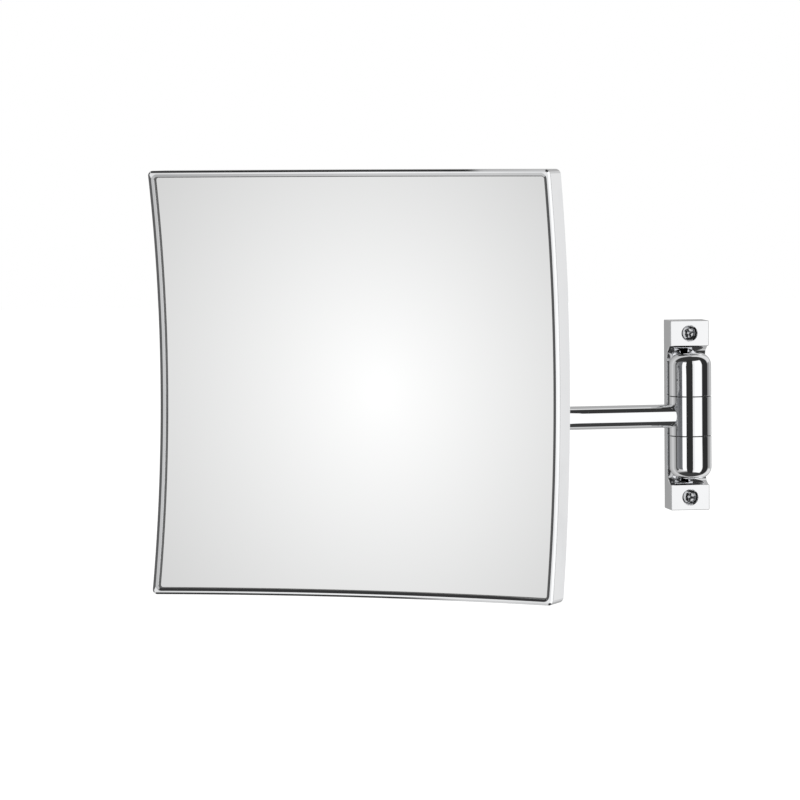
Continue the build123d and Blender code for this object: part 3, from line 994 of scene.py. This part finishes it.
@dataclass
class Arm(Assembly):
    """The rod between the barrel's middle knuckle and the elbow; sizes in millimetres."""

    knuckle_ease: float = 0.18
    rod_radius: float = 5.65
    rod_start: float = 6.9
    rod_end: float = 137.6
    rod_steps: int = 128

    def build(self) -> None:
        """Build and dress the swinging arm."""
        self.wrap(CHROME, Body.ARM, self.knuckle_ease, "arm_knuckle", "elbow_knuckle")
        middle = (self.rod_start + self.rod_end) / 2
        profile = [(self.rod_radius, place) for place in (self.rod_start, middle, self.rod_end)]
        rod = Shape().lathe(profile, LAYOUT.rod(), self.rod_steps)
        self.fit(rod.object("arm_bar", CHROME), CHROME, Body.ARM, "arm_rod")
        self.wrap(BEARING, Body.ARM, 0.0, "hinge_bushes")
        self.dress(STEEL, "swivel_bolt", "swivel_washer", "swivel_spring")


@dataclass
class Swivel(Assembly):
    """The elbow's upper half with the tongue of the tilt joint; sizes in millimetres."""

    tongue_ease: float = 0.25
    cap_ease: float = 0.18

    def build(self) -> None:
        """Build and dress the swivel."""
        self.wrap(CHROME, Body.SWIVEL, self.tongue_ease, "swivel_knuckle")
        self.wrap(CHROME, Body.SWIVEL, self.cap_ease, "swivel_cap")
        self.wrap(BEARING, Body.SWIVEL, 0.0, "swivel_bush")
        self.dress(BEARING, "tilt_bush")


@dataclass
class MirrorHead(Assembly):
    """The framed glass and its back; sizes in millimetres, radii about the dome's centre."""

    size: float = 200.0
    corner: float = 2.4
    opening_corner: float = 1.5
    rim: float = 420.0
    frame_back: float = 435.0
    wall: float = 1.2
    lip: float = 2.95
    lip_thickness: float = 1.2
    lip_bevel: float = 1.25
    lip_drop: float = 0.49
    edge_round: float = 0.35
    rim_bevel: float = 1.0
    rim_drop: float = 0.84
    crease: float = 0.06
    frame_sharp: float = 17.0
    side_steps: int = 56
    corner_steps: int = 16
    seal_front: float = 421.25
    seal_back: float = 421.75
    seal_inset: float = 1.22
    seal_wall: float = 0.6
    seal_gap: float = 0.02
    seal_show: float = 0.32
    seal_sink: float = 0.2
    seal_soft: float = 0.1
    glass_front: float = 421.8
    glass_back: float = 425.8
    glass_size: float = 196.26
    glass_steps: int = 120
    glass_sharp: float = 50.0
    shell_front: float = 432.35
    shell_back: float = 433.75
    shell_size: float = 197.5
    shell_steps: int = 72
    back_sharp: float = 40.0
    sunk_hole: tuple[tuple[float, float], ...] = ((1.75, -4.0), (1.75, -1.2), (2.95, 0.0), (3.95, 1.0))
    hole_steps: int = 48
    seat: float = 10.3
    seat_width: float = 47.0
    seat_height: float = 39.0
    seat_corner: float = 5.5
    seat_steps: int = 10
    seat_edge: tuple[tuple[float, float], ...] = ((0.0, 1.6), (0.0, 0.3), (0.1, 0.1), (0.3, 0.0))
    dome_distance: float = 444.55
    plate_ease: float = 0.3
    bolt_ease: float = 0.25
    plate_back: float = 7.8
    plate_screw_x: float = 15.5
    plate_screw_z: float = 11.5
    plate_screw_turns: tuple[float, ...] = (0.5, 1.8, 3.1, 4.4)
    back_screw_place: float = 91.3
    plate_screw: Screw = Screw("plate_screw", head=7.0, head_height=2.2, shanks=((4.0, 7.6),))
    back_screw: Screw = Screw("back_screw", head=5.4, head_height=1.2, shanks=((3.0, 4.8),), sunk=True)
    head: Matrix = field(default_factory=LAYOUT.head)

    def on_dome(self, across: float, level: float, radius: float) -> Vector:
        """Return the place on a sphere of the dome, in metres.

        Args:
            across: millimetres to the mirror's right of its axis.
            level: millimetres above its axis.
            radius: the sphere's radius in millimetres.

        Returns:
            The place in the shared frame.
        """
        out = math.sqrt(radius**2 - across**2 - level**2) - self.dome_distance
        return self.head @ (Vector((across, out, level)) * MM)

    def outline(self, side: float, corner: float) -> list[tuple[float, float]]:
        """Return points round a square with round corners.

        Args:
            side: the square's side.
            corner: its corner radius.

        Returns:
            The points, right side first.
        """
        reach = side / 2 - corner
        straight = [(side / 2, reach * (2 * step / self.side_steps - 1)) for step in range(self.side_steps)]
        bent = arc((reach, reach), corner, 0.0, 90.0, self.corner_steps)[:-1]
        points: list[tuple[float, float]] = []
        for quarter in range(4):
            turn = Matrix.Rotation(math.tau * quarter / 4, 2)
            points += [tuple(turn @ Vector(point)) for point in straight + bent]
        return points

    def loop(self, inset: float, radius: float, inside: bool = False) -> list[Vector]:
        """Return a loop that runs round the head on one sphere.

        Args:
            inset: its distance from the head's outside.
            radius: the sphere's radius.
            inside: whether its corners follow the opening's corners and not the outside ones.

        Returns:
            The loop's points.
        """
        corner = self.opening_corner + self.lip - inset if inside else self.corner - inset
        return [self.on_dome(x, z, radius) for x, z in self.outline(self.size - 2 * inset, corner)]

    def lip_face(self, inset: float) -> float:
        """Return the radius at an inset of the lip's face, which looks straight forward."""
        return self.rim - inset * self.size / 2 / self.rim

    def lip_edge(self) -> float:
        """Return the radius of the lip's inner edge, at the foot of its bevel."""
        return self.lip_face(self.lip) + self.lip_drop

    def frame(self) -> bpy.types.Object:
        """Return the thin frame with its bevelled rim and its bevelled lip."""
        near = self.crease
        foot = self.rim + self.rim_drop
        face_start, face_end = self.rim_bevel, self.lip - self.lip_bevel
        inside_from = (face_start + face_end) / 2
        back_edge = self.frame_back - self.edge_round
        section = [(self.wall, self.rim + self.lip_thickness), (self.wall, self.frame_back)]
        section += arc((self.edge_round, back_edge), self.edge_round, 90.0, 180.0, 5)
        section += [(0.0, back_edge - near), (0.0, foot + near), (near, foot - near)]
        section += [
            (inset, self.lip_face(inset))
            for inset in (face_start, face_start + near, face_end - near, face_end)
        ]
        section += [(self.lip - near, self.lip_edge() - near), (self.lip, self.lip_edge() + near)]
        section += [(self.lip, self.rim + self.lip_thickness)]
        loops = [self.loop(inset, radius, inset > inside_from) for inset, radius in section]
        shape = Shape().rings(loops, through=True)
        return even_normals(shape.object("chrome_frame", CHROME, self.frame_sharp))

    def seal(self) -> bpy.types.Object:
        """Return the seal, whose bead shows as a dark line between the lip and the glass."""
        soft = self.seal_soft
        outer = self.lip + self.seal_gap
        inner = self.lip + self.seal_show
        crest = self.lip_edge() + self.seal_sink + soft
        section = [(self.seal_inset, self.seal_front), (outer, self.seal_front)]
        section += arc((outer + soft, crest), soft, 180.0, 270.0, 4)
        section += arc((inner - soft, crest), soft, 270.0, 360.0, 4)
        section += [(inner, self.seal_back), (self.seal_inset + self.seal_wall, self.seal_back)]
        section += [(self.seal_inset + self.seal_wall, self.glass_back), (self.seal_inset, self.glass_back)]
        loops = [self.loop(inset, radius, inset > self.lip) for inset, radius in section]
        return Shape().rings(loops, through=True).object("glass_edge_seal", SEAL)

    def slab(self, side: float, front: float, back: float, steps: int) -> Shape:
        """Return a square slab of the dome between two radii.

        Args:
            side: the square's side.
            front: the smaller radius.
            back: the larger radius.
            steps: parts of each side.

        Returns:
            The closed shape.
        """
        shape = Shape()
        marks = [side * (step / steps - 0.5) for step in range(steps + 1)]
        for radius in (front, back):
            shape.rings([[self.on_dome(x, z, radius) for x in marks] for z in marks], around=False)
        edge = [(x, marks[0]) for x in marks] + [(marks[-1], z) for z in marks[1:]]
        edge += [(x, marks[-1]) for x in reversed(marks[:-1])]
        edge += [(marks[0], z) for z in reversed(marks[1:-1])]
        return shape.rings([[self.on_dome(x, z, radius) for x, z in edge] for radius in (front, back)])

    def glass(self) -> bpy.types.Object:
        """Return the dished square of silvered glass."""
        shape = self.slab(self.glass_size, self.glass_front, self.glass_back, self.glass_steps)
        return shape.object("dished_glass", MIRROR, self.glass_sharp)

    def back_places(self) -> list[Matrix]:
        """Return where the back's corner screws sit, looking out of the back."""
        places = []
        centre = self.head @ Vector((0.0, -self.dome_distance * MM, 0.0))
        for across in (-self.back_screw_place, self.back_screw_place):
            for level in (-self.back_screw_place, self.back_screw_place):
                spot = self.on_dome(across, level, self.shell_back)
                places.append(place_matrix(spot, LAYOUT.right(), spot - centre))
        return places

    def shell(self) -> bpy.types.Object:
        """Return the domed back with its seat and the sunk holes for its screws."""
        shape = self.slab(self.shell_size, self.shell_front, self.shell_back, self.shell_steps)
        back = shape.object("domed_back", BACK, self.back_sharp)
        for place in self.back_places():
            hole = Shape().lathe(self.sunk_hole, place, self.hole_steps)
            cut(back, hole.object("sunk_hole", BACK))
        smooth(back, self.back_sharp)
        half_width = self.seat_width / 2 - self.seat_corner
        half_height = self.seat_height / 2 - self.seat_corner
        rows = []
        for inset, depth in self.seat_edge:
            ring = []
            for quarter, (side, level) in enumerate(QUARTERS):
                middle, start = (side * half_width, level * half_height), 90.0 * quarter
                bend = arc(middle, self.seat_corner - inset, start, start + 90.0, self.seat_steps)
                ring += [self.head @ (Vector((x, -self.seat - depth, z)) * MM) for x, z in bend]
            rows.append(ring)
        seat = Shape().rings(rows).cap(rows[0]).cap(rows[-1])
        return even_normals(join(back, seat.object("back_seat", BACK)))

    def build(self) -> None:
        """Build and dress the head."""
        self.fit(self.frame(), CHROME, Body.HEAD, "front_frame")
        self.fit(self.seal(), SEAL, Body.HEAD, "glass_seal")
        self.fit(self.glass(), MIRROR, Body.HEAD, "mirror_glass")
        self.fit(self.shell(), BACK, Body.HEAD, "back_shell")
        self.wrap(CHROME, Body.HEAD, self.plate_ease, "hinge_plate")
        self.wrap(FASTENER, Body.HEAD, self.bolt_ease, "tilt_bolt", "tilt_nut")
        self.wrap(BEARING, Body.HEAD, 0.0, "tilt_washers")
        self.wrap(STEEL, Body.HEAD, 0.0, "tilt_spring")
        plate_places = []
        for turn, (side, level) in zip(self.plate_screw_turns, QUARTERS):
            spot = Vector((side * self.plate_screw_x, -self.plate_back, level * self.plate_screw_z)) * MM
            place = place_matrix(self.head @ spot, -LAYOUT.right(), -LAYOUT.front())
            plate_places.append(place @ Matrix.Rotation(turn, 4, "Z"))
        plate = self.screws.set_out("plate_screw_set", self.plate_screw, plate_places)
        self.fit(plate, FASTENER, Body.HEAD, "plate_screws")
        back = self.screws.set_out("back_screw_set", self.back_screw, self.back_places())
        self.fit(back, FASTENER, Body.HEAD, "back_screws")
        self.dress(FOAM, "foam_pad")
        self.dress(BOARD, "backing_board")
        self.dress(STEEL, "corner_gussets")


# Studio


@dataclass(frozen=True)
class PhotoCamera:
    """The photograph's camera; degrees, millimetres and pixels."""

    turn: float = 8.15
    dip: float = 3.37
    roll: float = 0.48
    shift_right: float = 138.09
    shift_down: float = 6.57
    distance: float = 2356.8
    focal_pixels: float = 4836.0
    frame_pixels: float = 800.0
    sensor: float = 36.0
    far_clip: float = 50000.0

    def forward(self) -> Vector:
        """Return the way that the camera looks."""
        turn, dip = math.radians(self.turn), math.radians(self.dip)
        return Vector((math.sin(turn) * math.cos(dip), math.cos(turn) * math.cos(dip), -math.sin(dip)))

    def level_right(self) -> Vector:
        """Return the camera's right before its roll."""
        turn = math.radians(self.turn)
        return Vector((math.cos(turn), -math.sin(turn), 0.0))

    def build(self) -> None:
        """Add the camera and make it the scene's."""
        forward, right = self.forward(), self.level_right()
        down = forward.cross(right)
        roll = math.radians(self.roll)
        right, down = (
            right * math.cos(roll) + down * math.sin(roll),
            down * math.cos(roll) - right * math.sin(roll),
        )
        matrix = Matrix((right, -down, -forward)).transposed().to_4x4()
        aim = right * self.shift_right + down * self.shift_down
        matrix.translation = -(aim + forward * self.distance) * MM
        lens = bpy.data.cameras.new("photo_camera")
        lens.sensor_width = self.sensor
        lens.lens = self.focal_pixels / self.frame_pixels * self.sensor
        lens.clip_end = self.far_clip * MM
        camera = bpy.data.objects.new("photo_camera", lens)
        camera.matrix_world = matrix
        bpy.context.scene.collection.objects.link(camera)
        bpy.context.scene.camera = camera


def stage_square(name: str, paint: str, places: Iterable[Vector]) -> tuple[bpy.types.Object, Sheet]:
    """Return a new flat piece of the stage and the node sheet of its material.

    Args:
        name: the piece's name.
        paint: its material's name.
        places: its four corners, in millimetres.

    Returns:
        The piece, and its material's empty node sheet.
    """
    mesh = bpy.data.meshes.new(name)
    mesh.from_pydata([(place * MM)[:] for place in places], [], [(0, 1, 2, 3)])
    made = bpy.data.materials.new(paint)
    made.use_nodes = True
    mesh.materials.append(made)
    piece = bpy.data.objects.new(name, mesh)
    bpy.context.scene.collection.objects.link(piece)
    return piece, Sheet(made.node_tree)


@dataclass(frozen=True)
class Card:
    """A plain upright card that only polished metal within its reach sees.

    Attributes:
        name: the card's name.
        foot: the two ends of its lower edge, seen from above, in millimetres.
        span: the heights of its lower and upper edges, in millimetres.
        level: its brightness.
        reach: the least and the greatest distance that it is seen from, in millimetres.
    """

    name: str
    foot: tuple[tuple[float, float], tuple[float, float]]
    span: tuple[float, float]
    level: float
    reach: tuple[float, float]

    def hang(self) -> None:
        """Add the card to the stage."""
        start, end = self.foot
        low, high = self.span
        round_edge = ((start, low), (end, low), (end, high), (start, high))
        places = [Vector((*spot, height)) for spot, height in round_edge]
        card, sheet = stage_square(self.name, self.name, places)
        near, far = (distance * MM for distance in self.reach)
        distance = sheet.node("ShaderNodeLightPath", output="Ray Length")
        shown = distance.rise(near - MM, near + MM) * distance.rise(far + MM, far - MM)
        clear = sheet.node("ShaderNodeBsdfTransparent")
        tint = colour(self.level, self.level, self.level)
        glow = sheet.node("ShaderNodeEmission", {}, {"Color": tint, "Strength": 1.0})
        mixed = sheet.node("ShaderNodeMixShader", {}, {0: shown, 1: clear, 2: glow})
        sheet.node("ShaderNodeOutputMaterial", {}, {"Surface": mixed})
        card.visible_camera = False
        card.visible_diffuse = False
        card.visible_shadow = False
        card.visible_transmission = False


@dataclass(frozen=True)
class Studio:
    """White surroundings with the dark flags and soft boxes that the metal shows.

    Turns are degrees round the camera, rises and facings are parts of a unit direction, and lengths are
    millimetres. Each pair is where an edge starts and ends.
    """

    camera: PhotoCamera
    plain_level: float = 0.8
    wall_levels: tuple[tuple[float, float], ...] = (
        (-180.0, 0.46),
        (-170.0, 0.40),
        (-164.0, 0.34),
        (-156.0, 0.42),
        (-146.0, 0.50),
        (-125.0, 0.60),
        (-119.0, 0.72),
        (-108.0, 0.55),
        (-99.0, 0.46),
        (-94.0, 0.37),
        (-91.0, 0.10),
        (-76.0, 0.10),
        (-74.0, 0.80),
        (-5.0, 0.80),
        (-4.0, 1.00),
        (8.0, 0.94),
        (18.0, 0.94),
        (22.0, 1.12),
        (62.0, 1.12),
        (66.0, 0.03),
        (104.0, 0.03),
        (108.0, 0.30),
        (127.0, 0.44),
        (134.0, 0.47),
        (136.5, 0.85),
        (141.0, 0.85),
        (143.5, 0.50),
        (165.0, 0.45),
        (180.0, 0.46),
    )
    glow_side: float = -43.3
    glow_rise: float = -0.041
    glow_peak: float = 1.057
    glow_fall: float = 0.634
    glow_least: float = 0.4
    glow_zone: tuple[float, float] = (-75.0, -3.0)
    glow_edge: float = 1.0
    glow_corners: tuple[tuple[float, float], ...] = ((-0.40, -0.50), (0.36, 0.42))
    glow_corner_spread: float = 0.5
    ceiling_level: float = 0.04
    ceiling_rise: tuple[float, float] = (0.67, 0.71)
    ceiling_facing: tuple[float, float] = (-0.08, -0.03)
    glow_top: tuple[float, float] = (0.43, 0.47)
    glow_top_lean: float = 0.12
    glow_top_pivot: float = -0.75
    pit_level: float = 0.05
    pit_rise: tuple[float, float] = (-0.73, -0.77)
    pit_facing: tuple[float, float] = (-0.20, -0.13)
    pit_lift: float = 0.12
    glow_foot: tuple[float, float] = (-0.56, -0.76)
    beyond_level: float = 0.82
    beyond_turn: tuple[float, float] = (106.0, 114.0)
    beyond_rise_squared: tuple[float, float] = (0.02, 0.06)
    behind_turn: tuple[float, float] = (142.0, 156.0)
    behind_drop: float = 0.36
    floor_level: float = -420.0
    floor_reach: float = 12000.0
    floor_tint: float = 0.82
    floor_glow: float = 0.42
    lamp_size: tuple[float, float] = (1400.0, 1000.0)
    lamp_power: float = 9.0
    lamp_place: tuple[float, float, float] = (-900.0, -1500.0, 1500.0)
    lamp_aim: tuple[float, float, float] = (-100.0, -50.0, 0.0)
    cards: tuple[Card, ...] = (
        Card("front_flag", ((-196.0, -300.0), (8.0, -300.0)), (-480.0, 410.0), 0.03, (270.0, 900.0)),
        Card("side_flag", ((-280.0, 0.0), (-282.0, -57.0)), (-92.0, 134.0), 0.12, (5.0, 46.0)),
        Card("barrel_glow", ((-34.5, -72.0), (-51.5, -55.8)), (-58.0, 58.0), 1.15, (40.0, 90.0)),
    )

    def room(self, sheet: Sheet) -> Wire:
        """Return how bright the studio is in each direction, as polished metal sees it."""
        towards = -Vector((self.camera.forward().x, self.camera.forward().y, 0.0)).normalized()
        right = self.camera.level_right()
        way = sheet.node("ShaderNodeTexCoord", output="Generated")

        def along(axis: Vector) -> Wire:
            """Return how far the looked-at direction runs along an axis."""
            return sheet.node(
                "ShaderNodeVectorMath", {"operation": "DOT_PRODUCT"}, {0: way, 1: axis[:]}, output="Value")

        facing, aside, rise = along(towards), along(right), along(UP)
        azimuth = sheet.node("ShaderNodeMath", {"operation": "ARCTAN2"}, {0: aside, 1: facing})
        stops = [(degrees / 360.0 + 0.5, (level,) * 3) for degrees, level in self.wall_levels]
        level = sheet.node("ShaderNodeValToRGB", {"stops": stops}, {0: azimuth / math.tau + 0.5})

        beyond = azimuth.rise(*map(math.radians, self.beyond_turn))
        beyond = beyond * (rise * rise).rise(*self.beyond_rise_squared)
        behind = azimuth.rise(*map(math.radians, self.behind_turn))
        level = level * (1.0 - beyond) + beyond * (self.beyond_level - behind * self.behind_drop)

        side = math.radians(self.glow_side)
        centre = (towards * math.cos(side) + right * math.sin(side) + UP * self.glow_rise).normalized()
        apart = (2.0 - along(centre) * 2.0).at_least(0.0)
        away = sheet.node("ShaderNodeMath", {"operation": "SQRT"}, {0: apart})
        glow = (self.glow_peak - away * self.glow_fall).at_least(self.glow_least)
        start, end = (math.radians(angle) for angle in self.glow_zone)
        edge = math.radians(self.glow_edge)
        low_corner, high_corner = (rise.rise(*corner) for corner in self.glow_corners)
        opened = azimuth + (low_corner + high_corner) * self.glow_corner_spread
        front = opened.rise(start - edge, start + edge) * azimuth.rise(end + edge, end - edge)
        level = level * (1.0 - front) + glow * front

        leaning = rise - (azimuth - self.glow_top_pivot) * self.glow_top_lean
        ceiling = rise.rise(*self.ceiling_rise) * facing.rise(*self.ceiling_facing)
        ceiling = ceiling.at_least(leaning.rise(*self.glow_top) * front)
        level = level * (1.0 - ceiling) + ceiling * self.ceiling_level

        pit = (rise + front * self.pit_lift).rise(*self.pit_rise) * facing.rise(*self.pit_facing)
        pit = pit.at_least(rise.rise(*self.glow_foot) * front)
        return level * (1.0 - pit) + pit * self.pit_level

    def world(self) -> None:
        """Make the world: white to the eye, and the studio's walls to polished metal."""
        world = bpy.data.worlds.new("studio_world")
        world.use_nodes = True
        sheet = Sheet(world.node_tree)
        level = self.room(sheet)
        camera_ray, glossy_ray, clear_ray = (
            sheet.node("ShaderNodeLightPath", output=name)
            for name in ("Is Camera Ray", "Is Glossy Ray", "Is Transmission Ray")
        )
        seen = camera_ray.at_least(clear_ray)
        plain = self.plain_level + glossy_ray * (level - self.plain_level)
        strength = plain + seen * (1.0 - plain)
        light = sheet.node("ShaderNodeBackground", {}, {"Color": colour(1, 1, 1), "Strength": strength})
        sheet.node("ShaderNodeOutputWorld", {}, {"Surface": light})
        bpy.context.scene.world = world

    def floor(self) -> None:
        """Lay the pale floor, which shows the object's shadow."""
        sides = ((-1, -1), (1, -1), (1, 1), (-1, 1))
        places = [Vector((x * self.floor_reach, y * self.floor_reach, self.floor_level)) for x, y in sides]
        floor, sheet = stage_square("studio_floor", "pale_floor", places)
        tint, shine = (colour(level, level, level) for level in (self.floor_tint, self.floor_glow))
        paint = sheet.node("ShaderNodeBsdfDiffuse", {}, {"Color": tint})
        glow = sheet.node("ShaderNodeEmission", {}, {"Color": shine, "Strength": 1.0})
        both = sheet.node("ShaderNodeAddShader", {}, {0: paint, 1: glow})
        sheet.node("ShaderNodeOutputMaterial", {}, {"Surface": both})
        floor.visible_glossy = False

    def lamp(self) -> None:
        """Hang one large soft lamp above and to the left of the camera."""
        light = bpy.data.lights.new("soft_lamp", "AREA")
        light.shape = "RECTANGLE"
        light.size, light.size_y = (size * MM for size in self.lamp_size)
        light.energy = self.lamp_power
        lamp = bpy.data.objects.new("soft_lamp", light)
        lamp.location = Vector(self.lamp_place) * MM
        aim = Vector(self.lamp_aim) * MM - lamp.location
        lamp.rotation_euler = aim.to_track_quat("-Z", "Y").to_euler()
        lamp.visible_glossy = False
        bpy.context.scene.collection.objects.link(lamp)

    def build(self) -> None:
        """Set up the whole studio."""
        self.world()
        self.floor()
        self.lamp()
        for card in self.cards:
            card.hang()
        bpy.context.scene.view_settings.view_transform = "Standard"


def main() -> None:
    """Load the frame, build every sub-assembly, and set up the studio."""
    logging.basicConfig(level=logging.INFO, format="%(name)s: %(message)s")
    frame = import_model()
    screws = ScrewSet()
    for assembly in (WallMount, Arm, Swivel, MirrorHead):
        assembly(frame["nodes"], screws).build()
    camera = PhotoCamera()
    camera.build()
    Studio(camera).build()


if __name__ == "__main__":
    main()
